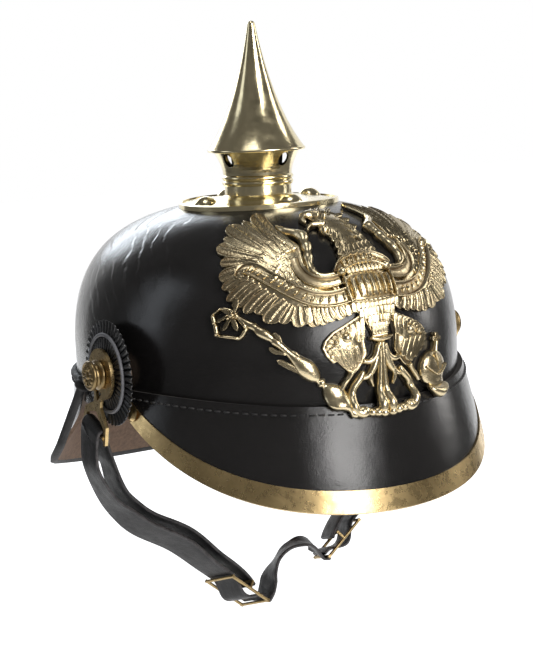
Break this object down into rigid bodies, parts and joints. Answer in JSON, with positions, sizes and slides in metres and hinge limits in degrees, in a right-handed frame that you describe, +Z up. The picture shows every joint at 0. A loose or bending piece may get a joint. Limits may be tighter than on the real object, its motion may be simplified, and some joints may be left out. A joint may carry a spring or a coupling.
{
  "type": "spiked helmet",
  "caption": "Black leather spiked helmet with a brass-edged front visor, rear neck guard, eagle plate, side cockades and a looped leather chin strap with slides",
  "frame": {"origin": "centre of the head opening, in the rim plane of the skull", "axes": "+Z up along the spike, -Y to the front visor, +X to the wearer's left"},
  "size_m": [0.2154, 0.2551, 0.2921],
  "materials": {
    "dome_leather": "polished black lacquered leather",
    "visor_leather": "polished black leather with a fine orange-peel grain",
    "guard_leather": "black outside, brown suede inside",
    "trim_brass": "polished brass with brown patina",
    "pale_brass": "pale polished brass",
    "eagle_brass": "stamped yellow brass, brown in the recesses",
    "hanger_brass": "warm worn brass",
    "slide_brass": "antique brass",
    "cockade_black": "black lacquer on pleated metal",
    "ring_grey": "dull grey paint",
    "strap_leather": "satin black leather",
    "liner_leather": "brown leather, matt",
    "lace_cotton": "woven cotton lace",
    "inner_steel": "plain steel",
    "wedge_leather": "rough brown leather"
  },
  "bodies": {
    "helmet": {"skull": "dome_leather", "front_visor": "visor_leather", "visor_trim": "trim_brass", "trim_rivets": "trim_brass", "neck_guard": "guard_leather", "rear_spine": "pale_brass", "spine_studs": "pale_brass", "spike_base": "pale_brass", "base_studs": "pale_brass", "stud_washers": "inner_steel", "sweatband": "liner_leather", "liner_tongues": "liner_leather", "liner_lace": "lace_cotton", "eagle_plate": "eagle_brass", "plate_loops": "eagle_brass", "plate_wedges": "wedge_leather", "cockade_spacer_left": "wedge_leather", "cockade_left": "cockade_black", "cockade_ring_left": "ring_grey", "cockade_rosette_left": "cockade_black", "side_post_left": "hanger_brass", "post_nut_left": "inner_steel", "cockade_spacer_right": "wedge_leather", "cockade_right": "cockade_black", "cockade_ring_right": "ring_grey", "cockade_rosette_right": "cockade_black", "side_post_right": "hanger_brass", "post_nut_right": "inner_steel"},
    "spike": {"spike_neck": "pale_brass", "spike_cone": "pale_brass"},
    "chin_strap": {"strap_hanger_left": "hanger_brass", "strap_hanger_right": "hanger_brass", "strap_right": "strap_leather", "strap_left": "strap_leather", "strap_centre": "strap_leather"},
    "slide_right": {"strap_slide_right": "slide_brass"},
    "slide_left": {"strap_slide_left": "slide_brass"},
    "knob_left": {"side_knob_left": "hanger_brass"},
    "knob_right": {"side_knob_right": "hanger_brass"}
  },
  "joints": [
    {"name": "chin_strap_swing", "type": "hinge", "parent": "helmet", "child": "chin_strap", "pos_m": [0, -0.02, 0.0211], "axis": [-1, 0, 0], "range_deg": [-22, 38]},
    {"name": "strap_slide_right", "type": "slide", "parent": "chin_strap", "child": "slide_right", "axis": [-0.7594, 0.0308, 0.6499], "range_m": [0, 0.008]},
    {"name": "strap_slide_left", "type": "slide", "parent": "chin_strap", "child": "slide_left", "axis": [0.7951, 0.0541, 0.6041], "range_m": [0, 0.008]},
    {"name": "spike_lift", "type": "slide", "parent": "helmet", "child": "spike", "axis": [0, 0, 1], "range_m": [0, 0.03]},
    {"name": "side_knob_left", "type": "hinge", "parent": "helmet", "child": "knob_left", "pos_m": [0.1, -0.02, 0.0211], "axis": [1, 0, 0], "continuous": true},
    {"name": "side_knob_right", "type": "hinge", "parent": "helmet", "child": "knob_right", "pos_m": [-0.1, -0.02, 0.0211], "axis": [-1, 0, 0], "continuous": true}
  ]
}
